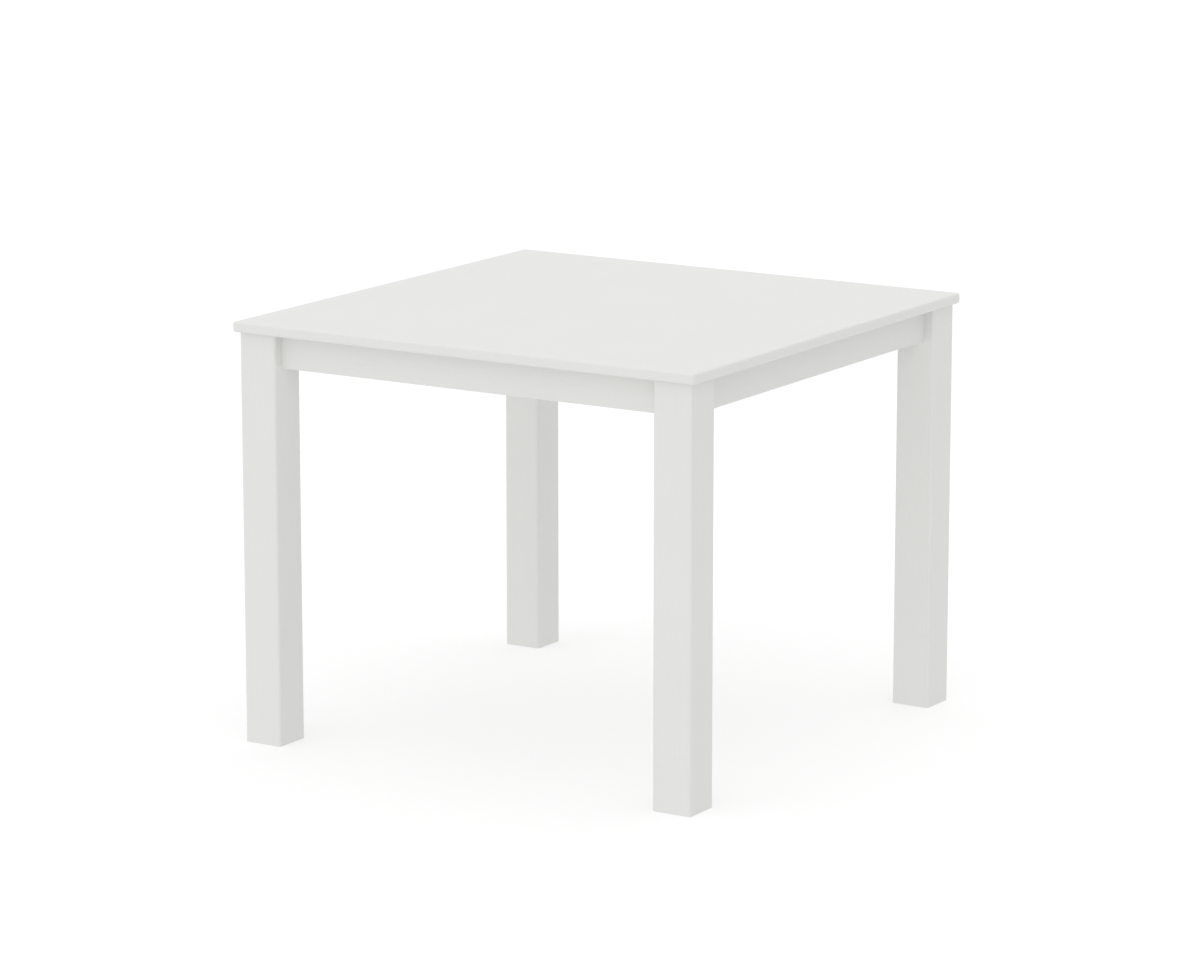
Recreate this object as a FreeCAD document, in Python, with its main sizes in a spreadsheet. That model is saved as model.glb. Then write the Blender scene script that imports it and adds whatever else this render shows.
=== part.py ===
import FreeCAD, Part
import os
import Sketcher

# Parsons dining table: a square sheet top on four square posts, tied by four aprons that stand
# back from the outer faces of the posts. Millimetres. X runs along the front edge to the right,
# Y from the front to the back, Z up, and the origin is on the floor under the middle of the top.
#
# The table looks the same after a quarter turn. So a leg, an apron and the fittings of a corner
# are drawn once, for the front left corner or the front side, and placed again by quarter turns.
# The corner frame has its origin on the floor at the outer corner of the leg, with X and Y both
# running inwards. The side frame has its origin at the top middle of an apron's outer face, with
# X along the apron and Y inwards.

SIZES = [
    # top
    ("top_side", 914.0, "side of the square top"),
    ("top_thickness", 18.0, "thickness of the sheet"),
    ("top_edge_radius", 4.0, "rounding along the upper and lower edges"),
    ("top_corner_radius", 6.0, "rounding of the four corners in plan"),
    ("table_height", 738.0, "floor to the upper face of the top"),
    ("overhang", 9.0, "top beyond the outer faces of the legs"),
    # legs
    ("leg_side", 73.0, "side of the square post"),
    ("leg_edge_radius", 5.0, "rounding of the upright edges"),
    ("foot_edge_radius", 1.0, "rounding around the foot"),
    ("leg_flat", 14.0, "inner corner cut back along each face, where the brace faces it"),
    # aprons and their tenons
    ("apron_height", 59.5, "height of the apron board"),
    ("apron_thickness", 25.0, "thickness of the apron board"),
    ("apron_inset", 19.0, "outer face of the apron behind the outer face of the leg"),
    ("apron_edge_radius", 3.0, "rounding of the long edges of the board"),
    ("tenon_length", 10.0, "tenon into the leg"),
    ("tenon_thickness", 12.0, "tenon across the board"),
    ("tenon_height", 40.0, "tenon up the board"),
    ("mortise_play", 0.2, "gap around a tenon on every face"),
    # cross rails under the top
    ("rail_from_leg", 223.0, "leg to the middle of the rail, along the front apron"),
    ("rail_width", 38.0, "width of the rail"),
    ("rail_height", 38.0, "height of the rail"),
    ("rail_edge_radius", 3.0, "rounding of the long edges of the rail"),
    ("rail_end_gap", 0.5, "gap between a rail end and the apron"),
    ("rail_screw_from_end", 50.0, "rail end to its first screw up into the top"),
    ("counterbore_depth", 12.0, "screw head sunk into the rail from below"),
    ("counterbore_width", 12.0, "diameter of that sunk hole"),
    # corner brace
    ("brace_gap", 8.0, "flat on the leg to the brace, drawn up by the bolts"),
    ("brace_plate", 3.0, "thickness of the brace plate"),
    ("brace_height", 45.0, "height of the brace"),
    ("brace_flange", 28.0, "flange of the brace along the apron"),
    ("brace_bend_radius", 3.0, "inside radius of the brace's two bends"),
    ("brace_screw_spacing", 24.0, "between the two screws of a flange"),
    ("lip_depth", 4.0, "turned lip of the flange into the kerf"),
    ("kerf_play", 0.2, "gap on each side of the lip and beyond its end"),
    # hanger bolts, nuts and washers
    ("bolt_diameter", 8.0, "hanger bolt"),
    ("bolt_spacing", 26.0, "between the two bolts of a corner"),
    ("bolt_grip", 35.0, "bolt inside the leg"),
    ("bolt_beyond_nut", 3.0, "bolt end past the nut"),
    ("bolt_hole_play", 0.5, "gap around the bolt in the brace"),
    ("nut_across_flats", 13.0, "hexagon nut"),
    ("nut_height", 6.5, "hexagon nut"),
    ("washer_width", 16.0, "washer outside"),
    ("washer_thickness", 1.6, "washer"),
    # screws
    ("screw_diameter", 4.8, "screw shank"),
    ("screw_head_width", 9.5, "pan head"),
    ("screw_head_height", 3.2, "pan head"),
    ("screw_drive", 2.8, "square drive in the head"),
    ("screw_bite", 12.0, "screw in the board past a bracket or a rail"),
    ("brace_screw_bite", 17.0, "screw in the apron past a brace"),
    ("screw_hole_play", 0.4, "gap around a screw in a bracket, a brace or a rail"),
    ("thread_play", 0.05, "gap around a thread in its own hole"),
    ("pilot_beyond_tip", 1.0, "hole past the tip of its screw"),
    # brackets
    ("bracket_plate", 2.0, "thickness of the angle brackets"),
    ("bracket_leg", 26.0, "leg of an angle bracket"),
    ("bracket_width", 25.0, "width of an angle bracket"),
    ("bracket_bend_radius", 1.5, "inside radius of a bracket's bend"),
    ("bracket_from_leg", 135.0, "leg to the middle of a top bracket"),
    ("bracket_end_radius", 4.0, "rounded corners of the bracket ends"),
    ("slot_travel", 7.0, "sliding room for a screw in the top brackets"),
    # room for cutting tools, outside the pieces
    ("cutter_margin", 2.0, "how far a cut starts outside the face that it cuts"),
]

# Distances that several pieces share, in the table's frame
LEG_FACE = "(Sizes.top_side / 2 - Sizes.overhang)"
APRON_FACE = f"({LEG_FACE} - Sizes.apron_inset)"
APRON_BACK = f"({APRON_FACE} - Sizes.apron_thickness)"
HALF_SPAN = f"({LEG_FACE} - Sizes.leg_side)"
UNDER_TOP = "(Sizes.table_height - Sizes.top_thickness)"
APRON_MIDDLE = f"({UNDER_TOP} - Sizes.apron_height / 2)"
RAIL_HALF = f"({APRON_BACK} - Sizes.rail_end_gap)"
RAIL_X = f"({HALF_SPAN} - Sizes.rail_from_leg)"
BRACKET_X = f"({HALF_SPAN} - Sizes.bracket_from_leg)"

# Distances in the corner frame; a sum is x + y on a face that crosses the corner at 45 degrees
SEAT = "(Sizes.apron_inset + Sizes.apron_thickness)"
FLAT_SUM = "(2 * Sizes.leg_side - Sizes.leg_flat)"
WEB_OUTER_SUM = f"({FLAT_SUM} + Sizes.brace_gap * sqrt(2))"
WEB_INNER_SUM = f"({WEB_OUTER_SUM} + Sizes.brace_plate * sqrt(2))"
FLANGE_START = f"({WEB_INNER_SUM} - {SEAT} - Sizes.brace_plate)"
FLANGE_END = f"({FLANGE_START} + Sizes.brace_flange)"
FLANGE_SCREW = f"({FLANGE_END} - (Sizes.brace_flange + Sizes.brace_plate) / 2)"
TENON_MIDDLE = "(Sizes.apron_inset + Sizes.apron_thickness / 2)"

# Distances on a bracket, from the bend
BRACKET_HOLE = "((Sizes.bracket_leg + Sizes.bracket_plate) / 2)"
BRACKET_BEND = "(Sizes.bracket_bend_radius + Sizes.bracket_plate)"

# Screws, from the underside of the head to the tip
BRACKET_SCREW = "(Sizes.bracket_plate + Sizes.screw_bite)"
BRACE_SCREW = "(Sizes.brace_plate + Sizes.brace_screw_bite)"
RAIL_SCREW = "(Sizes.rail_height - Sizes.counterbore_depth + Sizes.screw_bite)"
BOLT_OUTSIDE = "(Sizes.brace_gap + Sizes.brace_plate + Sizes.washer_thickness + Sizes.nut_height)"
BOLT_LENGTH = f"(Sizes.bolt_grip + {BOLT_OUTSIDE} + Sizes.bolt_beyond_nut)"

# Corners and sides in the order of the quarter turns; a side names the ends of its own X axis
CORNERS = ["front_left", "front_right", "back_right", "back_left"]
SIDES = [
    ("front", "left", "right"),
    ("right", "front", "back"),
    ("back", "right", "left"),
    ("left", "back", "front"),
]

RIGHT = FreeCAD.Vector(1, 0, 0)
LEFT = FreeCAD.Vector(-1, 0, 0)
BACKWARD = FreeCAD.Vector(0, 1, 0)
FORWARD = FreeCAD.Vector(0, -1, 0)
UP = FreeCAD.Vector(0, 0, 1)
DOWN = FreeCAD.Vector(0, 0, -1)
OUT_OF_CORNER = FreeCAD.Vector(1, 1, 0)
INTO_CORNER = FreeCAD.Vector(-1, -1, 0)

doc = FreeCAD.newDocument("ParsonsDiningTable")
sheet = doc.addObject("Spreadsheet::Sheet", "Sizes")
for row, (alias, size, meaning) in enumerate(SIZES, start=1):
    sheet.set(f"A{row}", alias)
    sheet.set(f"B{row}", str(size))
    sheet.setAlias(f"B{row}", alias)
    sheet.set(f"C{row}", meaning)
doc.recompute()

nodes = []


# ---- helpers -------------------------------------------------------------------------------

def value(expression):
    """The number that an expression over the sizes gives now."""
    result = sheet.evalExpression(expression)
    return float(getattr(result, "Value", result))


def bind(item, **expressions):
    """Bind properties of an object to expressions over the sizes."""
    for name, expression in expressions.items():
        item.setExpression(name, expression)


def stand(item, x, y, z, turn=0):
    """Place an item drawn for the front or the front left, after some quarter turns."""
    turned = [(x, y), (f"-({y})", x), (f"-({x})", f"-({y})"), (y, f"-({x})")][turn]
    item.Placement = FreeCAD.Placement(FreeCAD.Vector(), FreeCAD.Rotation(UP, 90 * turn))
    item.setExpression("Placement.Base.x", turned[0])
    item.setExpression("Placement.Base.y", turned[1])
    item.setExpression("Placement.Base.z", z)


def aim(item, x, y, z, direction):
    """Place an item drawn along +Z so that it starts at a spot and runs in a direction."""
    item.Placement = FreeCAD.Placement(FreeCAD.Vector(), FreeCAD.Rotation(UP, direction))
    item.setExpression("Placement.Base.x", x)
    item.setExpression("Placement.Base.y", y)
    item.setExpression("Placement.Base.z", z)


def node(item, label):
    """Name a finished sub-part; its label names its file."""
    item.Label = label
    nodes.append(item)
    return item


def new_body(label):
    return node(doc.addObject("PartDesign::Body", label), label)


def attach(sketch, body, plane, lift):
    """Lay a sketch on a plane of its body's origin, lifted along the plane's normal."""
    support = [face for face in body.Origin.OriginFeatures if face.Role == plane][0]
    sketch.AttachmentSupport = [(support, "")]
    sketch.MapMode = "FlatFace"
    sketch.setExpression("AttachmentOffset.Base.z", lift)


def hold(sketch, geometry, point, x, y):
    """Fix one point of a sketch at two expressions."""
    for axis, expression in (("X", x), ("Y", y)):
        constraint = Sketcher.Constraint("Distance" + axis, -1, 1, geometry, point, value(expression))
        index = sketch.addConstraint(constraint)
        name = f"{axis.lower()}_of_{geometry}"
        sketch.renameConstraint(index, name)
        sketch.setExpression("Constraints." + name, expression)


def outline(body, name, plane, corners, lift="0"):
    """A closed outline of straight lines, each corner held at its own (x, y)."""
    sketch = body.newObject("Sketcher::SketchObject", name)
    attach(sketch, body, plane, lift)
    spots = [FreeCAD.Vector(value(x), value(y), 0) for x, y in corners]
    following = spots[1:] + spots[:1]
    sketch.addGeometry([Part.LineSegment(a, b) for a, b in zip(spots, following)], False)
    for i in range(len(spots)):
        sketch.addConstraint(Sketcher.Constraint("Coincident", i, 2, (i + 1) % len(spots), 1))
    for i, (x, y) in enumerate(corners):
        hold(sketch, i, 1, x, y)
    return sketch


def rectangle(x0, y0, x1, y1):
    return [(x0, y0), (x1, y0), (x1, y1), (x0, y1)]


def circles(body, name, plane, centres, diameter, lift="0"):
    """Equal circles, each centre held at its own (x, y)."""
    sketch = body.newObject("Sketcher::SketchObject", name)
    attach(sketch, body, plane, lift)
    radius = value(diameter) / 2
    for i, (x, y) in enumerate(centres):
        centre = FreeCAD.Vector(value(x), value(y), 0)
        sketch.addGeometry(Part.Circle(centre, UP, radius), False)
        index = sketch.addConstraint(Sketcher.Constraint("Diameter", i, 2 * radius))
        sketch.renameConstraint(index, f"width_of_{i}")
        sketch.setExpression(f"Constraints.width_of_{i}", diameter)
        hold(sketch, i, 3, x, y)
    return sketch


def pad(body, name, sketch, length, both_ways=False):
    feature = body.newObject("PartDesign::Pad", name)
    feature.Profile = sketch
    feature.Midplane = both_ways
    bind(feature, Length=length)
    return feature


def pocket(body, name, sketch, length, along_normal=False):
    """Cut a sketch away, against its plane's normal unless told otherwise."""
    feature = body.newObject("PartDesign::Pocket", name)
    feature.Profile = sketch
    feature.Reversed = along_normal
    bind(feature, Length=length)
    return feature


def bore(body, name, diameter, depth, x, y, z, direction):
    """Cut a round hole from a spot in a direction."""
    feature = body.newObject("PartDesign::SubtractiveCylinder", name)
    bind(feature, Radius=f"({diameter}) / 2", Height=depth)
    aim(feature, x, y, z, direction)
    return feature


def round_edges(body, name, radius, wanted):
    """Round the edges of the body so far that a test picks."""
    doc.recompute()
    base = body.Tip
    names = [f"Edge{i}" for i, edge in enumerate(base.Shape.Edges, start=1) if wanted(edge)]
    feature = body.newObject("PartDesign::Fillet", name)
    feature.Base = (base, names)
    bind(feature, Radius=radius)
    return feature


def runs(edge, direction):
    """Whether an edge is straight and runs along a direction."""
    if edge.Curve.TypeId != "Part::GeomLine":
        return False
    return abs(abs(edge.Curve.Direction.dot(direction)) - 1) < 1e-6


def near(found, wanted):
    return abs(found - wanted) < 1e-4


def level(edge, expression):
    """Whether an edge lies in the horizontal plane at an expression."""
    height = value(expression)
    return near(edge.BoundBox.ZMin, height) and near(edge.BoundBox.ZMax, height)


# ---- top, legs, aprons and rails -------------------------------------------------------------

def rail_screw_spots():
    """Where the screws of the left rail stand, as (x, y) in the table's frame."""
    first = f"({RAIL_HALF} - Sizes.rail_screw_from_end)"
    return [(f"-{RAIL_X}", f"{first} * {share} / 3") for share in (-3, -1, 1, 3)]


def top_screw_spots():
    """Where screws enter the underside of the top, as (x, y) in the table's frame."""
    reach = f"({APRON_BACK} - {BRACKET_HOLE})"
    spots = []
    for x, y in [(f"-{BRACKET_X}", f"-{reach}"), (BRACKET_X, f"-{reach}")]:
        spots += [(x, y), (f"-({y})", x), (f"-({x})", f"-({y})"), (y, f"-({x})")]
    for x, y in rail_screw_spots():
        spots += [(x, y), (f"-({x})", y)]
    return spots


def make_tabletop():
    top = new_body("tabletop")
    half = "Sizes.top_side / 2"
    square = outline(top, "TopOutline", "XY_Plane", rectangle(f"-{half}", f"-{half}", half, half))
    pad(top, "Sheet", square, "Sizes.top_thickness")
    round_edges(top, "RoundCorners", "Sizes.top_corner_radius", lambda edge: runs(edge, UP))
    round_edges(
        top, "RoundRim", "Sizes.top_edge_radius",
        lambda edge: level(edge, "0") or level(edge, "Sizes.top_thickness"))
    pilots = circles(
        top, "PilotCentres", "XY_Plane", top_screw_spots(),
        "Sizes.screw_diameter + 2 * Sizes.thread_play")
    pocket(top, "Pilots", pilots, "Sizes.screw_bite + Sizes.pilot_beyond_tip", along_normal=True)
    stand(top, "0", "0", UNDER_TOP)


def make_leg(corner, turn):
    leg = new_body("leg_" + corner)
    side = "Sizes.leg_side"
    section = outline(leg, "LegSection", "XY_Plane", rectangle("0", "0", side, side))
    pad(leg, "Post", section, UNDER_TOP)
    round_edges(leg, "EasedUprights", "Sizes.leg_edge_radius", lambda edge: runs(edge, UP))
    round_edges(leg, "EasedFoot", "Sizes.foot_edge_radius", lambda edge: level(edge, "0"))

    past = f"({side} + Sizes.cutter_margin)"
    along = f"({FLAT_SUM} - {past})"
    corner_cut = outline(
        leg, "FlatOutline", "XY_Plane", [(past, along), (past, past), (along, past)], UNDER_TOP)
    pocket(leg, "BraceFlat", corner_cut, "Sizes.apron_height")

    half_thickness = "(Sizes.tenon_thickness / 2 + Sizes.mortise_play)"
    half_height = "(Sizes.tenon_height / 2 + Sizes.mortise_play)"
    mortise = rectangle(
        f"{TENON_MIDDLE} - {half_thickness}", f"{APRON_MIDDLE} - {half_height}",
        f"{TENON_MIDDLE} + {half_thickness}", f"{APRON_MIDDLE} + {half_height}")
    depth = "Sizes.tenon_length + Sizes.mortise_play"
    side_mouth = outline(leg, "SideMortiseMouth", "XZ_Plane", mortise, f"-{side}")
    pocket(leg, "SideMortise", side_mouth, depth, along_normal=True)
    front_mouth = outline(leg, "FrontMortiseMouth", "YZ_Plane", mortise, side)
    pocket(leg, "FrontMortise", front_mouth, depth)

    mouth = diagonal("Sizes.cutter_margin")
    reach = "Sizes.bolt_grip + Sizes.cutter_margin"
    for name, height in bolt_heights():
        bore(leg, name + "BoltPilot", "Sizes.bolt_diameter + 2 * Sizes.thread_play", reach,
             mouth, mouth, height, INTO_CORNER)
    stand(leg, f"-{LEG_FACE}", f"-{LEG_FACE}", "0", turn)


def diagonal(out):
    """Both coordinates of the spot on the corner's diagonal some way out from the leg's flat."""
    return f"({FLAT_SUM} / 2 + ({out}) / sqrt(2))"


def bolt_heights():
    return [
        ("Lower", f"({APRON_MIDDLE} - Sizes.bolt_spacing / 2)"),
        ("Upper", f"({APRON_MIDDLE} + Sizes.bolt_spacing / 2)"),
    ]


def make_apron(side, turn):
    apron = new_body("apron_" + side)
    middle = "(-Sizes.apron_height / 2)"
    board = outline(
        apron, "BoardSection", "YZ_Plane",
        rectangle("0", "-Sizes.apron_height", "Sizes.apron_thickness", "0"))
    pad(apron, "Board", board, f"2 * {HALF_SPAN}", both_ways=True)
    round_edges(apron, "EasedBoard", "Sizes.apron_edge_radius", lambda edge: runs(edge, RIGHT))

    centre = "Sizes.apron_thickness / 2"
    tenon = outline(
        apron, "TenonSection", "YZ_Plane",
        rectangle(f"{centre} - Sizes.tenon_thickness / 2", f"{middle} - Sizes.tenon_height / 2",
                  f"{centre} + Sizes.tenon_thickness / 2", f"{middle} + Sizes.tenon_height / 2"))
    pad(apron, "Tenons", tenon, f"2 * ({HALF_SPAN} + Sizes.tenon_length)", both_ways=True)

    kerf_far = f"({LEG_FACE} - {FLANGE_END} - Sizes.kerf_play)"
    kerf_near = f"({LEG_FACE} - {FLANGE_END} + Sizes.brace_plate + Sizes.kerf_play)"
    kerf_floor = "(Sizes.apron_thickness - Sizes.lip_depth - Sizes.kerf_play)"
    past = "(Sizes.apron_thickness + Sizes.cutter_margin)"
    for hand, sign in (("Left", "-"), ("Right", "")):
        kerf = outline(
            apron, hand + "KerfOutline", "XY_Plane",
            rectangle(f"{sign}{kerf_far}", kerf_floor, f"{sign}{kerf_near}", past))
        pocket(apron, hand + "Kerf", kerf, "Sizes.apron_height")

    half_spacing = "Sizes.brace_screw_spacing / 2"
    brace_screw = f"({LEG_FACE} - {FLANGE_SCREW})"
    centres = []
    for x in (f"-{brace_screw}", brace_screw):
        centres += [(x, f"{middle} - {half_spacing}"), (x, f"{middle} + {half_spacing}")]
    pilot = "Sizes.screw_diameter + 2 * Sizes.thread_play"
    back = "-Sizes.apron_thickness"
    brace_pilots = circles(apron, "BracePilotCentres", "XZ_Plane", centres, pilot, back)
    pocket(
        apron, "BracePilots", brace_pilots, "Sizes.brace_screw_bite + Sizes.pilot_beyond_tip",
        along_normal=True)

    centres = [(f"-{BRACKET_X}", f"-{BRACKET_HOLE}"), (BRACKET_X, f"-{BRACKET_HOLE}")]
    if side in ("front", "back"):
        rail_screw = f"({RAIL_X} - Sizes.rail_width / 2 - {BRACKET_HOLE})"
        height = "-Sizes.rail_height / 2"
        centres += [(f"-{rail_screw}", height), (rail_screw, height)]
    bracket_pilots = circles(apron, "BracketPilotCentres", "XZ_Plane", centres, pilot, back)
    pocket(
        apron, "BracketPilots", bracket_pilots, "Sizes.screw_bite + Sizes.pilot_beyond_tip",
        along_normal=True)
    stand(apron, "0", f"-{APRON_FACE}", UNDER_TOP, turn)


def make_rail(hand, turn):
    """The left rail runs from the front apron to the back one; the right one is a half turn on."""
    rail = new_body("cross_rail_" + hand)
    left_face = f"(-{RAIL_X} - Sizes.rail_width / 2)"
    right_face = f"(-{RAIL_X} + Sizes.rail_width / 2)"
    section = outline(
        rail, "RailSection", "XZ_Plane", rectangle(left_face, "-Sizes.rail_height", right_face, "0"))
    pad(rail, "Rail", section, f"2 * {RAIL_HALF}", both_ways=True)
    round_edges(rail, "EasedRail", "Sizes.rail_edge_radius", lambda edge: runs(edge, BACKWARD))

    spots = rail_screw_spots()
    holes = circles(
        rail, "ScrewHoleCentres", "XY_Plane", spots, "Sizes.screw_diameter + 2 * Sizes.screw_hole_play")
    pocket(rail, "ScrewHoles", holes, "Sizes.rail_height")
    sunk = circles(
        rail, "CounterboreCentres", "XY_Plane", spots, "Sizes.counterbore_width", "-Sizes.rail_height")
    pocket(rail, "Counterbores", sunk, "Sizes.counterbore_depth", along_normal=True)

    pilot = "Sizes.screw_diameter + 2 * Sizes.thread_play"
    from_middle = f"({APRON_BACK} - {BRACKET_HOLE})"
    centres = [(f"-{from_middle}", "-Sizes.rail_height / 2"), (from_middle, "-Sizes.rail_height / 2")]
    pilots = circles(rail, "BracketPilotCentres", "YZ_Plane", centres, pilot, right_face)
    pocket(rail, "BracketPilots", pilots, "Sizes.screw_bite + Sizes.pilot_beyond_tip")
    stand(rail, "0", "0", UNDER_TOP, turn)


# ---- plates and brackets ---------------------------------------------------------------------

def make_brace(corner, turn):
    """A plate across the corner, with a flange and a turned lip at each end."""
    brace = new_body("corner_brace_" + corner)
    seat = SEAT
    raised = f"({seat} + Sizes.brace_plate)"
    lip = f"({seat} - Sizes.lip_depth)"
    lip_start = f"({FLANGE_END} - Sizes.brace_plate)"
    web_end = f"({WEB_OUTER_SUM} - {seat})"
    half = [(web_end, seat), (lip_start, seat), (lip_start, lip), (FLANGE_END, lip),
            (FLANGE_END, raised), (FLANGE_START, raised)]
    profile = half + [(y, x) for x, y in reversed(half)]
    bottom = f"({APRON_MIDDLE} - Sizes.brace_height / 2)"
    section = outline(brace, "BraceSection", "XY_Plane", profile, bottom)
    pad(brace, "Plate", section, "Sizes.brace_height")

    def inner_bend(edge):
        spots = [(FLANGE_START, raised), (raised, FLANGE_START)]
        return runs(edge, UP) and stands_at(edge, spots)

    def outer_bend(edge):
        spots = [(web_end, seat), (seat, web_end)]
        return runs(edge, UP) and stands_at(edge, spots)

    round_edges(brace, "InnerBends", "Sizes.brace_bend_radius", inner_bend)
    round_edges(
        brace, "OuterBends", "Sizes.brace_bend_radius + Sizes.brace_plate", outer_bend)

    before = diagonal("Sizes.brace_gap - Sizes.cutter_margin")
    through = "Sizes.brace_plate + 2 * Sizes.cutter_margin"
    bolt_hole = "Sizes.bolt_diameter + 2 * Sizes.bolt_hole_play"
    for name, height in bolt_heights():
        bore(brace, name + "BoltHole", bolt_hole, through, before, before, height, OUT_OF_CORNER)
    screw_hole = "Sizes.screw_diameter + 2 * Sizes.screw_hole_play"
    start = f"({seat} - Sizes.cutter_margin)"
    for name, height in brace_screw_heights():
        bore(brace, name + "FrontHole", screw_hole, through, FLANGE_SCREW, start, height, BACKWARD)
        bore(brace, name + "SideHole", screw_hole, through, start, FLANGE_SCREW, height, RIGHT)
    stand(brace, f"-{LEG_FACE}", f"-{LEG_FACE}", "0", turn)


def stands_at(edge, spots):
    """Whether an upright edge stands at one of some (x, y) spots."""
    start = edge.Vertexes[0].Point
    return any(near(start.x, value(x)) and near(start.y, value(y)) for x, y in spots)


def brace_screw_heights():
    return [
        ("Lower", f"({APRON_MIDDLE} - Sizes.brace_screw_spacing / 2)"),
        ("Upper", f"({APRON_MIDDLE} + Sizes.brace_screw_spacing / 2)"),
    ]


def angle_profile():
    """An angle with its bend at (0, 0) and its legs along +X and +Y."""
    leg = "Sizes.bracket_leg"
    plate = "Sizes.bracket_plate"
    return [("0", "0"), (leg, "0"), (leg, plate), (plate, plate), (plate, leg), ("0", leg)]


def make_angle(label):
    """A bent angle, drawn in XY with its width along Z and centred on it."""
    bracket = new_body(label)
    section = outline(bracket, "AngleSection", "XY_Plane", angle_profile())
    pad(bracket, "Angle", section, "Sizes.bracket_width", both_ways=True)
    plate = "Sizes.bracket_plate"
    round_edges(
        bracket, "InnerBend", "Sizes.bracket_bend_radius",
        lambda edge: runs(edge, UP) and stands_at(edge, [(plate, plate)]))
    round_edges(
        bracket, "OuterBend", BRACKET_BEND,
        lambda edge: runs(edge, UP) and stands_at(edge, [("0", "0")]))

    def end_corner(edge):
        far = value("Sizes.bracket_leg")
        along_x = runs(edge, RIGHT) and near(edge.BoundBox.YMin, far)
        along_y = runs(edge, BACKWARD) and near(edge.BoundBox.XMin, far)
        return along_x or along_y

    round_edges(bracket, "EndCorners", "Sizes.bracket_end_radius", end_corner)
    return bracket


def make_top_bracket(label, sign, turn):
    """An angle under the top: one leg on the apron, the other, slotted, up against the top."""
    bracket = make_angle(label)
    hole = "Sizes.screw_diameter + 2 * Sizes.screw_hole_play"
    start = "-Sizes.cutter_margin"
    through = "Sizes.bracket_plate + 2 * Sizes.cutter_margin"
    bore(bracket, "ApronHole", hole, through, BRACKET_HOLE, start, "0", BACKWARD)
    half_travel = "Sizes.slot_travel / 2"
    for name, shift in (("Near", f"-{half_travel}"), ("Far", half_travel)):
        bore(bracket, name + "SlotEnd", hole, through, start, f"{BRACKET_HOLE} + {shift}", "0", RIGHT)
    middle = outline(
        bracket, "SlotMiddle", "YZ_Plane",
        rectangle(f"{BRACKET_HOLE} - {half_travel}", f"-({hole}) / 2",
                  f"{BRACKET_HOLE} + {half_travel}", f"({hole}) / 2"))
    pocket(bracket, "Slot", middle, "Sizes.bracket_plate", along_normal=True)

    # the drawn X points down, so the leg along X lies on the apron and the other under the top
    stand(bracket, f"{sign}{BRACKET_X}", f"-{APRON_BACK}", UNDER_TOP, turn)
    down_apron = FreeCAD.Rotation(DOWN, BACKWARD, RIGHT, "XYZ")
    bracket.Placement.Rotation = FreeCAD.Rotation(UP, 90 * turn) * down_apron


def make_rail_bracket(label, end, turn):
    """An angle in the corner of a rail and an apron, on the inner side of the rail."""
    bracket = make_angle(label)
    hole = "Sizes.screw_diameter + 2 * Sizes.screw_hole_play"
    start = "-Sizes.cutter_margin"
    through = "Sizes.bracket_plate + 2 * Sizes.cutter_margin"
    bore(bracket, "FirstHole", hole, through, BRACKET_HOLE, start, "0", BACKWARD)
    bore(bracket, "SecondHole", hole, through, start, BRACKET_HOLE, "0", RIGHT)
    face = f"(-{RAIL_X} + Sizes.rail_width / 2)"
    reach = f"-{APRON_BACK}" if end == "near" else APRON_BACK
    stand(bracket, face, reach, f"{UNDER_TOP} - Sizes.rail_height / 2", turn)
    if end == "far":
        bracket.Placement.Rotation = FreeCAD.Rotation(UP, 90 * turn - 90)


# ---- fasteners -------------------------------------------------------------------------------

def cylinder(name, diameter, length, z="0"):
    item = doc.addObject("Part::Cylinder", name)
    bind(item, Radius=f"({diameter}) / 2", Height=length)
    item.setExpression("Placement.Base.z", z)
    return item


def cone(name, low_diameter, high_diameter, length, z="0"):
    item = doc.addObject("Part::Cone", name)
    bind(item, Radius1=f"({low_diameter}) / 2", Radius2=f"({high_diameter}) / 2", Height=length)
    item.setExpression("Placement.Base.z", z)
    return item


def fuse(name, pieces):
    item = doc.addObject("Part::MultiFuse", name)
    item.Shapes = pieces
    item.Refine = True
    return item


def cut(name, base, tool):
    item = doc.addObject("Part::Cut", name)
    item.Base = base
    item.Tool = tool
    return item


def draw_screw(name, length):
    """A pan head screw along +Z: the head under z = 0, the shank up to its tip at z = length."""
    shank_width = "Sizes.screw_diameter"
    point = "(Sizes.screw_diameter / 2)"
    shank = cylinder(name + "Shank", shank_width, f"{length} - {point}")
    tip = cone(name + "Tip", shank_width, "Sizes.screw_diameter / 4", point, f"{length} - {point}")
    head = cone(
        name + "Head", "Sizes.screw_head_width * 0.7", "Sizes.screw_head_width",
        "Sizes.screw_head_height", "-Sizes.screw_head_height")
    drive = doc.addObject("Part::Box", name + "Drive")
    bind(drive, Length="Sizes.screw_drive", Width="Sizes.screw_drive",
         Height="Sizes.screw_head_height / 2 + Sizes.cutter_margin")
    drive.setExpression("Placement.Base.x", "-Sizes.screw_drive / 2")
    drive.setExpression("Placement.Base.y", "-Sizes.screw_drive / 2")
    drive.setExpression("Placement.Base.z", "-Sizes.screw_head_height - Sizes.cutter_margin")
    return cut(name, fuse(name + "Solid", [shank, tip, head]), drive)


def draw_bolt():
    """A hanger bolt along +Z: its point at z = 0 in the leg, its machine end at the top."""
    width = "Sizes.bolt_diameter"
    point = "Sizes.bolt_diameter / 2"
    bevel = "Sizes.bolt_diameter / 8"
    tip = cone("BoltTip", "Sizes.bolt_diameter / 4", width, point)
    shank = cylinder("BoltShank", width, f"{BOLT_LENGTH} - {point} - {bevel}", point)
    end = cone("BoltEnd", width, f"{width} - 2 * {bevel}", bevel, f"{BOLT_LENGTH} - {bevel}")
    return fuse("HangerBolt", [tip, shank, end])


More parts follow.
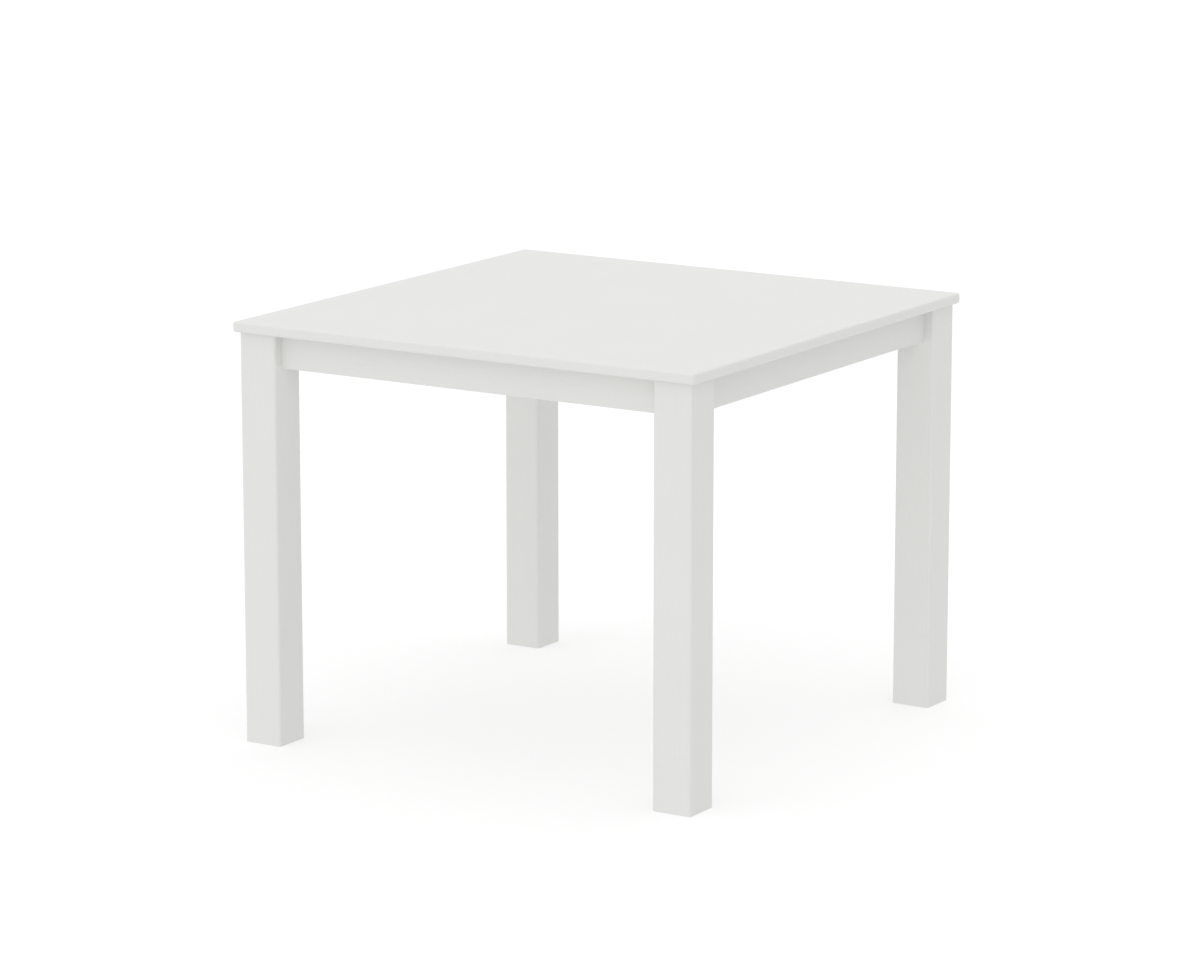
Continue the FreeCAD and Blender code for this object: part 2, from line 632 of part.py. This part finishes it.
def draw_washer():
    """A washer along +Z from z = 0."""
    disc = cylinder("WasherDisc", "Sizes.washer_width", "Sizes.washer_thickness")
    hole = cylinder(
        "WasherHole", "Sizes.bolt_diameter + 2 * Sizes.bolt_hole_play", "Sizes.washer_thickness")
    return cut("Washer", disc, hole)


def draw_nut():
    """A hexagon nut along +Z from z = 0, with the corners of its upper face bevelled."""
    prism = doc.addObject("Part::Prism", "NutPrism")
    prism.Polygon = 6
    bind(prism, Circumradius="Sizes.nut_across_flats / 2 / cos(30)", Height="Sizes.nut_height")
    bevel = cone(
        "NutBevel", "Sizes.nut_across_flats / cos(30) + 4 * Sizes.nut_height",
        "Sizes.nut_across_flats", "Sizes.nut_height")
    bevelled = doc.addObject("Part::Common", "NutBevelled")
    bevelled.Base = prism
    bevelled.Tool = bevel
    hole = cylinder(
        "NutHole", "Sizes.bolt_diameter + 2 * Sizes.thread_play", "Sizes.nut_height")
    return cut("Nut", bevelled, hole)


def fasteners(label, drawn, spots, base, turn):
    """One node that holds a copy of a fastener at each spot of (x, y, z, direction)."""
    copies = []
    for x, y, z, direction in spots:
        copy = doc.addObject("App::Link", drawn.Name + "Copy")
        copy.LinkedObject = drawn
        aim(copy, x, y, z, direction)
        copies.append(copy)
    group = node(doc.addObject("Part::Compound", label), label)
    group.Links = copies
    stand(group, *base, turn)


def make_corner_fasteners(corner, turn, bolt, washer, nut, brace_screw):
    """The bolts, washers and nuts on the diagonal, and the screws through the flanges."""
    base = (f"-{LEG_FACE}", f"-{LEG_FACE}", "0")

    def on_diagonal(out):
        along = diagonal(out)
        return [(along, along, height, OUT_OF_CORNER) for _, height in bolt_heights()]

    on_brace = "Sizes.brace_gap + Sizes.brace_plate"
    on_washer = f"{on_brace} + Sizes.washer_thickness"
    fasteners("hanger_bolts_" + corner, bolt, on_diagonal("-Sizes.bolt_grip"), base, turn)
    fasteners("brace_washers_" + corner, washer, on_diagonal(on_brace), base, turn)
    fasteners("brace_nuts_" + corner, nut, on_diagonal(on_washer), base, turn)

    face = f"({SEAT} + Sizes.brace_plate)"
    spots = []
    for _, height in brace_screw_heights():
        spots.append((FLANGE_SCREW, face, height, FORWARD))
        spots.append((face, FLANGE_SCREW, height, LEFT))
    fasteners("brace_screws_" + corner, brace_screw, spots, base, turn)


def make_bracket_fasteners(side, turn, screw):
    """One screw into the apron and one up into the top for each of a side's two brackets."""
    face = f"(-{APRON_BACK} + Sizes.bracket_plate)"
    reach = f"(-{APRON_BACK} + {BRACKET_HOLE})"
    spots = []
    for x in (f"-{BRACKET_X}", BRACKET_X):
        spots.append((x, face, f"-{BRACKET_HOLE}", FORWARD))
        spots.append((x, reach, "-Sizes.bracket_plate", UP))
    fasteners("top_bracket_screws_" + side, screw, spots, ("0", "0", UNDER_TOP), turn)


def make_rail_fasteners(hand, turn, bracket_screw, rail_screw):
    """The screws of a rail's two end brackets, and its screws up into the top."""
    base = ("0", "0", UNDER_TOP)
    rail_face = f"(-{RAIL_X} + Sizes.rail_width / 2)"
    head_on_rail = f"({rail_face} + Sizes.bracket_plate)"
    hole_on_apron = f"({rail_face} + {BRACKET_HOLE})"
    height = "-Sizes.rail_height / 2"
    along = f"({APRON_BACK} - {BRACKET_HOLE})"
    head_on_apron = f"({APRON_BACK} - Sizes.bracket_plate)"
    spots = [
        (head_on_rail, f"-{along}", height, LEFT),
        (head_on_rail, along, height, LEFT),
        (hole_on_apron, f"-{head_on_apron}", height, FORWARD),
        (hole_on_apron, head_on_apron, height, BACKWARD),
    ]
    fasteners("rail_bracket_screws_" + hand, bracket_screw, spots, base, turn)

    sunk = "-Sizes.rail_height + Sizes.counterbore_depth"
    spots = [(x, y, sunk, UP) for x, y in rail_screw_spots()]
    fasteners("rail_top_screws_" + hand, rail_screw, spots, base, turn)


# ---- assembly --------------------------------------------------------------------------------

def build():
    bolt = draw_bolt()
    washer = draw_washer()
    nut = draw_nut()
    brace_screw = draw_screw("BraceScrew", BRACE_SCREW)
    bracket_screw = draw_screw("BracketScrew", BRACKET_SCREW)
    rail_screw = draw_screw("RailScrew", RAIL_SCREW)

    make_tabletop()
    for turn, corner in enumerate(CORNERS):
        make_leg(corner, turn)
        make_brace(corner, turn)
        make_corner_fasteners(corner, turn, bolt, washer, nut, brace_screw)
    for turn, (side, near_end, far_end) in enumerate(SIDES):
        make_apron(side, turn)
        make_top_bracket(f"top_bracket_{side}_side_{near_end}", "-", turn)
        make_top_bracket(f"top_bracket_{side}_side_{far_end}", "", turn)
        make_bracket_fasteners(side, turn, bracket_screw)
    for hand, turn in (("left", 0), ("right", 2)):
        ends = ("front", "back") if hand == "left" else ("back", "front")
        make_rail(hand, turn)
        make_rail_bracket(f"rail_bracket_{hand}_{ends[0]}", "near", turn)
        make_rail_bracket(f"rail_bracket_{hand}_{ends[1]}", "far", turn)
        make_rail_fasteners(hand, turn, bracket_screw, rail_screw)
    doc.recompute()


def check():
    """Stop if any object failed, any piece is not sound, or any cut took nothing away."""
    for item in doc.Objects:
        if "Invalid" in item.State or "Error" in item.State:
            raise RuntimeError(f"{item.Label} failed: {item.State}")
    for item in nodes:
        if item.Shape.isNull() or not item.Shape.isValid() or not item.Shape.Solids:
            raise RuntimeError(f"{item.Label} has no sound shape")
    cuts = ("PartDesign::Pocket", "PartDesign::SubtractiveCylinder")
    for item in doc.Objects:
        if item.TypeId in cuts and item.Shape.Volume > item.BaseFeature.Shape.Volume - 1:
            raise RuntimeError(f"{item.Label} cuts nothing")


def write():
    os.makedirs("parts", exist_ok=True)
    for item in nodes:
        item.Shape.exportStep(f"parts/{item.Label}.step")


build()
check()
write()
print(f"{len(nodes)} nodes, {sum(len(item.Shape.Solids) for item in nodes)} solids")
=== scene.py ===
import math

import bpy
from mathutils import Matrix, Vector


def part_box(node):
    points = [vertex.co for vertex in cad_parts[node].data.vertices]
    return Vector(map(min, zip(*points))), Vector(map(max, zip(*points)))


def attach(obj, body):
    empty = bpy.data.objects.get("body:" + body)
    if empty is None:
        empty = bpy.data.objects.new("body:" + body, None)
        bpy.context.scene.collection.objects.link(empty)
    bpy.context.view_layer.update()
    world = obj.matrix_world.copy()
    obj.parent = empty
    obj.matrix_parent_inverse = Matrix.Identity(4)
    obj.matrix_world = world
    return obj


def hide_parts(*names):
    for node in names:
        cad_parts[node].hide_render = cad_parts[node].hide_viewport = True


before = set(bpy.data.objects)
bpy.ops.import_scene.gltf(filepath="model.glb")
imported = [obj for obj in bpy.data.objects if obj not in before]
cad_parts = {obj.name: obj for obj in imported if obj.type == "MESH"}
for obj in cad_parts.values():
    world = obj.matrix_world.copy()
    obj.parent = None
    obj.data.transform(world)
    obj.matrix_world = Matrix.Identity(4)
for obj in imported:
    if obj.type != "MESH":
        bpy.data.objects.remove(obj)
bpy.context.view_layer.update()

MM = 0.001

# ---- camera --------------------------------------------------------------------------------
AZIMUTH = math.radians(32.0048)
ELEVATION = math.radians(11.9922)
CAMERA_AT = (4.2175, -6.7569, 2.1242)
LENS = 140.245                 # millimetres
SENSOR = 36                    # millimetres across
VIEW_DEPTH = 100               # metres

# ---- light ---------------------------------------------------------------------------------
SKY_EVEN = 0.224               # from every side
SKY_ABOVE = 0.938              # straight above, down to nothing at the horizon
SKY_FRONT = 0.522              # straight in front, down to nothing at the sides
SOFTBOXES = (                  # wide soft lights: where each is, its strength
    ((0, 0.447, 0.894), 0.392),
    ((0.447, 0, 0.894), 0.092),
)
SOFTBOX_FALL = 8               # how fast each fades from its middle, a power of the cosine
FLOOR_SIZE = 80                # metres
FLOOR_SEEN = (0.490, 0.530)    # what the camera sees: the glow no shadow takes, the colour
FLOOR_LIT = (0.763, 0.219)     # what the table gets back from the floor

# ---- colours, linear -----------------------------------------------------------------------
LUMBER_COOL = (0.769, 0.770, 0.752)
LUMBER_WARM = (0.776, 0.775, 0.754)
STEEL_BRIGHT = (0.60, 0.60, 0.59)
STEEL_DULL = (0.47, 0.47, 0.455)


def make_camera():
    back = Vector((
        math.sin(AZIMUTH) * math.cos(ELEVATION),
        -math.cos(AZIMUTH) * math.cos(ELEVATION),
        math.sin(ELEVATION),
    ))
    data = bpy.data.cameras.new("camera")
    data.sensor_width = SENSOR
    data.lens = LENS
    data.clip_end = VIEW_DEPTH
    camera = bpy.data.objects.new("camera", data)
    camera.location = CAMERA_AT
    camera.rotation_mode = "QUATERNION"
    camera.rotation_quaternion = (-back).to_track_quat("-Z", "Y")
    bpy.context.scene.collection.objects.link(camera)
    bpy.context.scene.camera = camera


# ---- node helpers --------------------------------------------------------------------------
# A value handed to these is a number, a tuple or another node's output.

def new_tree(owner):
    owner.use_nodes = True
    owner.node_tree.nodes.clear()
    return owner.node_tree


def feed(tree, socket, value):
    if isinstance(value, bpy.types.NodeSocket):
        tree.links.new(value, socket)
    else:
        socket.default_value = value


def add(tree, kind, inputs=(), **settings):
    """A new node; inputs pairs a socket's name or number with what goes into it."""
    node = tree.nodes.new(kind)
    for name, value in settings.items():
        setattr(node, name, value)
    for name, value in dict(inputs).items():
        feed(tree, node.inputs[name], value)
    return node


def maths(tree, operation, *values):
    return add(tree, "ShaderNodeMath", enumerate(values), operation=operation).outputs[0]


def vectors(tree, operation, *values):
    return add(tree, "ShaderNodeVectorMath", enumerate(values), operation=operation).outputs[0]


def noise(tree, place, pattern):
    """A pattern is the noise's cells in a metre, its detail and its roughness."""
    scale, detail, roughness = pattern
    return add(
        tree, "ShaderNodeTexNoise",
        {"Vector": place, "Scale": scale, "Detail": detail, "Roughness": roughness},
    ).outputs[0]


def ramp(tree, value, start, end, low, high):
    """value from start to end, smoothed into low to high."""
    return add(
        tree, "ShaderNodeMapRange", enumerate((value, start, end, low, high)),
        interpolation_type="SMOOTHSTEP",
    ).outputs[0]


def marked(tree, start, *terms):
    """start plus each mark times its weight."""
    total = start
    for mark, weight in terms:
        total = maths(tree, "MULTIPLY_ADD", mark, weight, total)
    return total


def varied(tree, start, *terms):
    """start plus each noise, less its middle of 0.5, times its weight."""
    return marked(tree, start, *(
        (maths(tree, "SUBTRACT", value, 0.5), weight) for value, weight in terms))


def mix_colours(tree, share, first, second):
    node = add(tree, "ShaderNodeMix", data_type="RGBA")
    feed(tree, node.inputs["Factor"], share)
    feed(tree, node.inputs["A"], (*first, 1))
    feed(tree, node.inputs["B"], (*second, 1))
    return node.outputs["Result"]


def bump(tree, height, depth, normal=None):
    inputs = {"Height": height, "Distance": depth}
    if normal:
        inputs["Normal"] = normal
    return add(tree, "ShaderNodeBump", inputs).outputs[0]


def seen_directly(tree):
    """1 for rays from the camera, in a reflection or through glass, else 0."""
    rays = add(tree, "ShaderNodeLightPath").outputs
    shiny = maths(tree, "MAXIMUM", rays["Is Glossy Ray"], rays["Is Transmission Ray"])
    return maths(tree, "MAXIMUM", rays["Is Camera Ray"], shiny)


# ---- surroundings --------------------------------------------------------------------------

def make_world():
    """A soft white room with wide lights overhead; it shows as plain white."""
    world = bpy.data.worlds.new("studio")
    bpy.context.scene.world = world
    tree = new_tree(world)
    direction = add(tree, "ShaderNodeTexCoord").outputs["Generated"]
    y, z = add(tree, "ShaderNodeSeparateXYZ", {0: direction}).outputs[1:]
    level = maths(tree, "MULTIPLY_ADD", maths(tree, "MAXIMUM", z, 0), SKY_ABOVE, SKY_EVEN)
    level = maths(tree, "MULTIPLY_ADD", maths(tree, "MINIMUM", y, 0), -SKY_FRONT, level)
    for towards, strength in SOFTBOXES:
        near = add(
            tree, "ShaderNodeVectorMath", {0: direction, 1: towards}, operation="DOT_PRODUCT",
        ).outputs["Value"]
        spot = maths(tree, "POWER", maths(tree, "MAXIMUM", near, 0), SOFTBOX_FALL)
        level = maths(tree, "MULTIPLY_ADD", spot, strength, level)
    sky = add(tree, "ShaderNodeBackground", {"Color": (1, 1, 1, 1), "Strength": level})
    white = add(tree, "ShaderNodeBackground", {"Color": (1, 1, 1, 1), "Strength": 1})
    mix = add(
        tree, "ShaderNodeMixShader",
        {0: seen_directly(tree), 1: sky.outputs[0], 2: white.outputs[0]})
    add(tree, "ShaderNodeOutputWorld", {0: mix.outputs[0]})


def make_floor():
    bpy.ops.mesh.primitive_plane_add(size=FLOOR_SIZE)
    floor = bpy.context.object
    floor.name = "floor"
    material = bpy.data.materials.new("floor_white")
    tree = new_tree(material)
    looks = []
    for strength, colour in (FLOOR_LIT, FLOOR_SEEN):
        glow = add(tree, "ShaderNodeEmission", {"Strength": strength})
        matt = add(tree, "ShaderNodeBsdfDiffuse", {"Color": (colour, colour, colour, 1)})
        looks.append(add(tree, "ShaderNodeAddShader", {0: glow.outputs[0], 1: matt.outputs[0]}))
    mix = add(
        tree, "ShaderNodeMixShader",
        {0: seen_directly(tree), 1: looks[0].outputs[0], 2: looks[1].outputs[0]})
    add(tree, "ShaderNodeOutputMaterial", {0: mix.outputs[0]})
    floor.data.materials.append(material)


# ---- white plastic lumber ------------------------------------------------------------------

LINES = (520, 5, 0.65)         # fine lines along a board, from its extrusion
LINES_SLOWED = 0.03            # how much slower they change along the board than across it
LINES_DEPTH = 0.16 * MM
SKIN = (1300, 3, 0.6)          # the skin of the plastic
SKIN_DEPTH = 0.07 * MM
CLOUDS = (7, 2, 0.5)           # slow clouds of tone
SCRATCHES = (1, 2, 0.4)        # in a space that is turned and stretched
SCRATCHES_TURN = (0.4, 0.9, 0.6)
SCRATCHES_STRETCH = (14, 420, 90)
SCRATCHES_START = (0.7, 0.76)  # from no scratch to a scratch
SCRATCHES_DEPTH = 0.05 * MM
PORES = 650                    # cells in a metre of the foamed core that a sawn end shows
PORES_OUT = (0.12, 0.3)        # from a pore to the solid plastic round it
END_START = (0.8, 0.95)        # from a side to an end, as a face turns to look along the grain
RUBBED = (60, 3, 0.5)          # how the rubbing of the edges wanders
RUBBED_LEAST = 3 * MM          # how far in from an edge the plastic is rubbed smooth
RUBBED_MORE = 6 * MM           # and how much further where it wanders most
RUBBED_OUT = (0.3, 1.0)        # the shares of that depth between which it fades
APART = (3.1, 1.7, 2.3)        # sets the noise of one board apart from the next one's

# How much each lightens the plastic, and how much rougher it makes it.
LINES_SHADE = 0.06
CLOUDS_SHADE = 0.02
SKIN_SHADE = 0.05
SCRATCHES_SHADE = -0.012
RUBBED_SHADE = -0.004
PORES_SHADE = -0.25
LUMBER_ROUGHNESS = 0.56
LINES_ROUGHNESS = 0.30
SKIN_ROUGHNESS = 0.25
CLOUDS_ROUGHNESS = 0.06
RUBBED_ROUGHNESS = -0.05
SCRATCHES_ROUGHNESS = 0.10
LUMBER_SPECULAR = 0.35


def edge_distance(tree, place, low, high):
    """How far a point on a board is from its nearest edge: the middle of its three distances
    from the faces of the board's box."""
    centre = (low + high) / 2
    half = (high - low) / 2
    from_centre = vectors(tree, "ABSOLUTE", vectors(tree, "SUBTRACT", place, centre))
    from_faces = vectors(tree, "SUBTRACT", half, from_centre)
    x, y, z = add(tree, "ShaderNodeSeparateXYZ", {0: from_faces}).outputs
    smaller = maths(tree, "MINIMUM", x, y)
    larger = maths(tree, "MAXIMUM", x, y)
    return maths(tree, "MAXIMUM", smaller, maths(tree, "MINIMUM", larger, z))


def scratch_marks(tree, own, number):
    """A few hair scratches, across the grain of a board and every way on the sheet."""
    x, y, z = SCRATCHES_TURN
    slanted = add(
        tree, "ShaderNodeMapping",
        {"Vector": own, "Rotation": (x, y, z + number), "Scale": SCRATCHES_STRETCH},
    ).outputs[0]
    return ramp(tree, noise(tree, slanted, SCRATCHES), *SCRATCHES_START, 0, 1)


def rubbed_edges(tree, place, own, low, high):
    """1 at the edges of a board, down to 0 where the rubbing ends."""
    reach = marked(tree, RUBBED_LEAST, (noise(tree, own, RUBBED), RUBBED_MORE))
    edge = edge_distance(tree, place, low, high)
    return ramp(tree, maths(tree, "DIVIDE", edge, reach), *RUBBED_OUT, 1, 0)


def end_pores(tree, own, normal, grain):
    """1 in the pores on the sawn ends of a board, and 0 between them and on its sides."""
    facing = add(tree, "ShaderNodeSeparateXYZ", {0: normal}).outputs[grain]
    end = ramp(tree, maths(tree, "ABSOLUTE", facing), *END_START, 0, 1)
    cells = add(tree, "ShaderNodeTexVoronoi", {"Vector": own, "Scale": PORES}).outputs["Distance"]
    return maths(tree, "MULTIPLY", ramp(tree, cells, *PORES_OUT, 1, 0), end)


def lumber(name, number, grain, low, high):
    """White polyethylene lumber. The grain axis, 0, 1 or 2, is the one that the board was
    extruded along; None is pressed sheet, which has none."""
    material = bpy.data.materials.new(name)
    tree = new_tree(material)
    coordinates = add(tree, "ShaderNodeTexCoord").outputs
    place = coordinates["Object"]
    own = vectors(tree, "ADD", place, [number * step for step in APART])

    stretch = [LINES_SLOWED if axis == grain else 1 for axis in range(3)]
    lines = noise(tree, vectors(tree, "MULTIPLY", own, stretch), LINES)
    clouds = noise(tree, own, CLOUDS)
    skin = noise(tree, own, SKIN)
    scratches = scratch_marks(tree, own, number)
    rubbed = rubbed_edges(tree, place, own, low, high)
    pores = 0.0 if grain is None else end_pores(tree, own, coordinates["Normal"], grain)

    shade = varied(tree, 1.0, (lines, LINES_SHADE), (clouds, CLOUDS_SHADE), (skin, SKIN_SHADE))
    shade = marked(
        tree, shade,
        (scratches, SCRATCHES_SHADE), (rubbed, RUBBED_SHADE), (pores, PORES_SHADE))
    colour = mix_colours(tree, clouds, LUMBER_COOL, LUMBER_WARM)
    tinted = add(
        tree, "ShaderNodeVectorMath", {0: colour, "Scale": shade}, operation="SCALE").outputs[0]

    roughness = varied(
        tree, LUMBER_ROUGHNESS,
        (lines, LINES_ROUGHNESS), (skin, SKIN_ROUGHNESS), (clouds, CLOUDS_ROUGHNESS))
    roughness = marked(
        tree, roughness, (rubbed, RUBBED_ROUGHNESS), (scratches, SCRATCHES_ROUGHNESS))

    normal = bump(tree, lines, LINES_DEPTH)
    normal = bump(tree, skin, SKIN_DEPTH, normal)
    normal = bump(tree, maths(tree, "MAXIMUM", scratches, pores), -SCRATCHES_DEPTH, normal)

    shader = add(
        tree, "ShaderNodeBsdfPrincipled",
        {"Base Color": tinted, "Roughness": roughness, "Normal": normal,
         "Specular IOR Level": LUMBER_SPECULAR})
    add(tree, "ShaderNodeOutputMaterial", {0: shader.outputs[0]})
    return material


# ---- stainless steel -----------------------------------------------------------------------

BRUSHING = (2600, 3, 0.6)      # fine marks of the brush or of the lathe
BRUSHING_SLOWED = 0.02         # how much slower they change along the brushing
BRUSHING_DEPTH = 0.006 * MM
STAINS = (45, 4, 0.6)
STAINS_START = (0.35, 0.75)    # from bright steel to dull
STEEL_ROUGHNESS = 0.34
BRUSHING_ROUGHNESS = 0.22
STAINS_ROUGHNESS = 0.18


def steel(name, brushed):
    """Stainless steel, brushed up and down, or turned, as screws and nuts are."""
    material = bpy.data.materials.new(name)
    tree = new_tree(material)
    place = add(tree, "ShaderNodeTexCoord").outputs["Object"]
    stretch = (1, 1, BRUSHING_SLOWED) if brushed else (1, 1, 1)
    lines = noise(tree, vectors(tree, "MULTIPLY", place, stretch), BRUSHING)
    stains = noise(tree, place, STAINS)
    dull = ramp(tree, stains, *STAINS_START, 0, 1)
    colour = mix_colours(tree, dull, STEEL_BRIGHT, STEEL_DULL)
    roughness = varied(
        tree, STEEL_ROUGHNESS, (lines, BRUSHING_ROUGHNESS), (stains, STAINS_ROUGHNESS))
    shader = add(
        tree, "ShaderNodeBsdfPrincipled",
        {"Base Color": colour, "Metallic": 1.0, "Roughness": roughness,
         "Normal": bump(tree, lines, BRUSHING_DEPTH)})
    add(tree, "ShaderNodeOutputMaterial", {0: shader.outputs[0]})
    return material


# ---- screws and bolts ----------------------------------------------------------------------
# Each group of screws or bolts is replaced by turned ones in the same places.

AROUND = 24                    # corners in each ring
TOUCH = 0.05 * MM              # solids nearer than this are one
SHARP = math.radians(40)       # an edge that turns by more than this stays sharp
DIAGONAL = math.sqrt(0.5)      # how far along X a level step of 1 goes at 45 degrees
SCREW_RADIUS = 2.4 * MM
SCREW_TIP = SCREW_RADIUS / 4   # radius of the point
HEAD_HEIGHT = 3.2 * MM
HEAD_RADIUS = 4.75 * MM
HEAD_CHAMFER = 0.15 * MM       # round the underside
HEAD_SIDE = 1 * MM             # height of the upright side under the dome
HEAD_FLAT = 2.3 * MM           # radius of the flat round the drive
DOME_STEPS = 6
SQUARE_DRIVE = 2.8 * MM
DRIVE_DEPTH = HEAD_HEIGHT / 2
BOLT_RADIUS = 4 * MM
BOLT_TIP = 1 * MM              # radius of the point
BOLT_FLARE = 0.75              # how fast the point widens
BOLT_FACE = 3 * MM             # radius of the flat outer end
TURN_STEPS = 8                 # rings in each turn of a thread
CREST_TOP = 1.1                # where the flanks would meet; the crests are cut flat at 1
LAG_END = 30 * MM              # from the bolt's point to the end of its coarse thread
LAG_PITCH = 3.2 * MM
LAG_CORE = 2.9 * MM
LAG_FLANK = 5                  # how steep the flanks of the thread are
MACHINE_START = 32 * MM        # from the bolt's point to its machine thread
MACHINE_PITCH = 1.25 * MM
MACHINE_CORE = 3.35 * MM
MACHINE_FLANK = 2.2


def overlap(first, second):
    return all(
        first[0][k] - TOUCH <= second[1][k] and second[0][k] - TOUCH <= first[1][k]
        for k in range(3))


def joined(first, second):
    low = Vector([min(a, b) for a, b in zip(first[0], second[0])])
    high = Vector([max(a, b) for a, b in zip(first[1], second[1])])
    return low, high


def solids(node):
    """The box of each separate solid in a CAD node, and the corners that lie in it."""
    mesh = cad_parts[node].data
    corners = [vertex.co for vertex in mesh.vertices]
    boxes = []
    for polygon in mesh.polygons:
        points = [corners[i] for i in polygon.vertices]
        box = (points[0], points[0])
        for point in points[1:]:
            box = joined(box, (point, point))
        apart = []
        for other in boxes:
            if overlap(box, other):
                box = joined(box, other)
            else:
                apart.append(other)
        boxes = apart + [box]
    return [(box, [corner for corner in corners if overlap(box, (corner, corner))]) for box in boxes]


def across(axis):
    """A vector of ones, with zero along the axis."""
    return Vector([0 if k == axis else 1 for k in range(3)])


def screw_line(box, corners):
    """The tip and the top of a screw that lies along an axis of the frame."""
    low, high = box
    axis = max(range(3), key=lambda k: high[k] - low[k])
    tip = (low + high) / 2
    top = tip.copy()
    widest = max(corners, key=lambda corner: ((corner - tip) * across(axis)).length)
    head_first = widest[axis] < tip[axis]
    top[axis], tip[axis] = (low[axis], high[axis]) if head_first else (high[axis], low[axis])
    return tip, top


def bolt_line(box):
    """The point and the outer end of a bolt that lies level, towards the table's middle."""
    low, high = box
    point = (low + high) / 2
    end = point.copy()
    for k in range(2):
        side = math.copysign(1, point[k])
        point[k] = side * (max(abs(low[k]), abs(high[k])) - DIAGONAL * BOLT_TIP)
        end[k] = side * (min(abs(low[k]), abs(high[k])) + DIAGONAL * BOLT_FACE)
    return point, end


def ring(along, radius_at):
    """One loop of corners; radius_at gives the radius at an angle."""
    angles = [math.tau * k / AROUND for k in range(AROUND)]
    return [(radius_at(a) * math.cos(a), radius_at(a) * math.sin(a), along) for a in angles]


def square(angle):
    return SQUARE_DRIVE / 2 / max(abs(math.cos(angle)), abs(math.sin(angle)))


def screw_loops(length):
    """A pointed shank, a domed pan head and the square drive sunk in it."""
    under_head = length - HEAD_HEIGHT
    outline = [
        (0, SCREW_TIP),
        (SCREW_RADIUS, SCREW_RADIUS),
        (under_head, SCREW_RADIUS),
        (under_head, HEAD_RADIUS - HEAD_CHAMFER),
        (under_head + HEAD_CHAMFER, HEAD_RADIUS),
    ]
    for step in range(DOME_STEPS + 1):
        turn = math.pi / 2 * step / DOME_STEPS
        up = HEAD_SIDE + (HEAD_HEIGHT - HEAD_SIDE) * math.sin(turn)
        outline.append((under_head + up, HEAD_FLAT + (HEAD_RADIUS - HEAD_FLAT) * math.cos(turn)))
    loops = [ring(along, lambda a: radius) for along, radius in outline]
    return loops + [ring(length, square), ring(length - DRIVE_DEPTH, square)]


def crest(along, angle, pitch, flank):
    """0 between the turns of a thread, 1 along their tops."""
    turns = along / pitch - angle / math.tau
    return max(0, min(1, CREST_TOP - flank * abs(turns % 1 - 0.5)))


def bolt_loops(length):
    """A hanger bolt: coarse thread from its point, a short shank, then machine thread."""
    def radius(along, angle):
        if along < LAG_END:
            core, height = LAG_CORE, crest(along, angle, LAG_PITCH, LAG_FLANK)
        elif along < MACHINE_START:
            core, height = MACHINE_CORE, 0
        else:
            core, height = MACHINE_CORE, crest(along, angle, MACHINE_PITCH, MACHINE_FLANK)
        threaded = core + (BOLT_RADIUS - core) * height
        return min(threaded, BOLT_TIP + BOLT_FLARE * along, BOLT_FACE + length - along)

    coarse = LAG_PITCH / TURN_STEPS
    fine = MACHINE_PITCH / TURN_STEPS
    places = [coarse * i for i in range(int(MACHINE_START / coarse))]
    places += [MACHINE_START + fine * i for i in range(int((length - MACHINE_START) / fine))]
    return [ring(p, lambda a: radius(p, a)) for p in places + [length]]


def skin(corners, faces, loops, start, end):
    """Add a closed skin over loops that stand along the line from start to end."""
    turn = (end - start).to_track_quat("Z", "Y")
    first = len(corners)
    for loop in loops:
        corners.extend(start + turn @ Vector(corner) for corner in loop)
    for i in range(first, len(corners) - AROUND, AROUND):
        for k in range(AROUND):
            a, b = i + k, i + (k + 1) % AROUND
            faces.append((a, b, b + AROUND, a + AROUND))
    faces.append([first + k for k in reversed(range(AROUND))])
    faces.append([len(corners) - AROUND + k for k in range(AROUND)])


def turn_fasteners(material):
    """Put detailed bolts and screws in the places of the plain ones."""
    for node in sorted(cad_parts):
        bolts = node.startswith("hanger_bolts_")
        if not bolts and "_screws_" not in node:
            continue
        corners, faces = [], []
        for box, inside in solids(node):
            start, end = bolt_line(box) if bolts else screw_line(box, inside)
            length = (end - start).length
            skin(corners, faces, bolt_loops(length) if bolts else screw_loops(length), start, end)
        mesh = bpy.data.meshes.new(node + "_turned")
        mesh.from_pydata(corners, [], faces)
        mesh.shade_smooth()
        mesh.set_sharp_from_angle(angle=SHARP)
        mesh.materials.append(material)
        piece = bpy.data.objects.new(node + "_turned", mesh)
        bpy.context.scene.collection.objects.link(piece)
        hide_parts(node)
        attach(piece, "root")


# ---- dressing the solids -------------------------------------------------------------------

def grain_axis(name):
    if name == "tabletop":
        return None
    if name.startswith("leg_"):
        return 2
    if name in ("apron_front", "apron_back"):
        return 0
    return 1


def is_lumber(name):
    return name == "tabletop" or name.startswith(("leg_", "apron_", "cross_rail_"))


def is_plate(name):
    plates = ("corner_brace_", "rail_bracket_", "top_bracket_")
    return name.startswith(plates) and "screws" not in name


def dress():
    """Give every CAD node its material, and the fasteners their threads and heads."""
    plate = steel("steel_plate", True)
    turned = steel("steel_turned", False)
    number = 0
    for name, node in sorted(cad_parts.items()):
        if is_lumber(name):
            number += 1
            low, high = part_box(name)
            material = lumber(
                "lumber_" + name, number, grain_axis(name), Vector(low), Vector(high))
        elif is_plate(name):
            material = plate
        else:
            material = turned
        node.data.materials.clear()
        node.data.materials.append(material)
    turn_fasteners(turned)


make_camera()
make_world()
make_floor()
dress()
bpy.context.scene.view_settings.view_transform = "Standard"
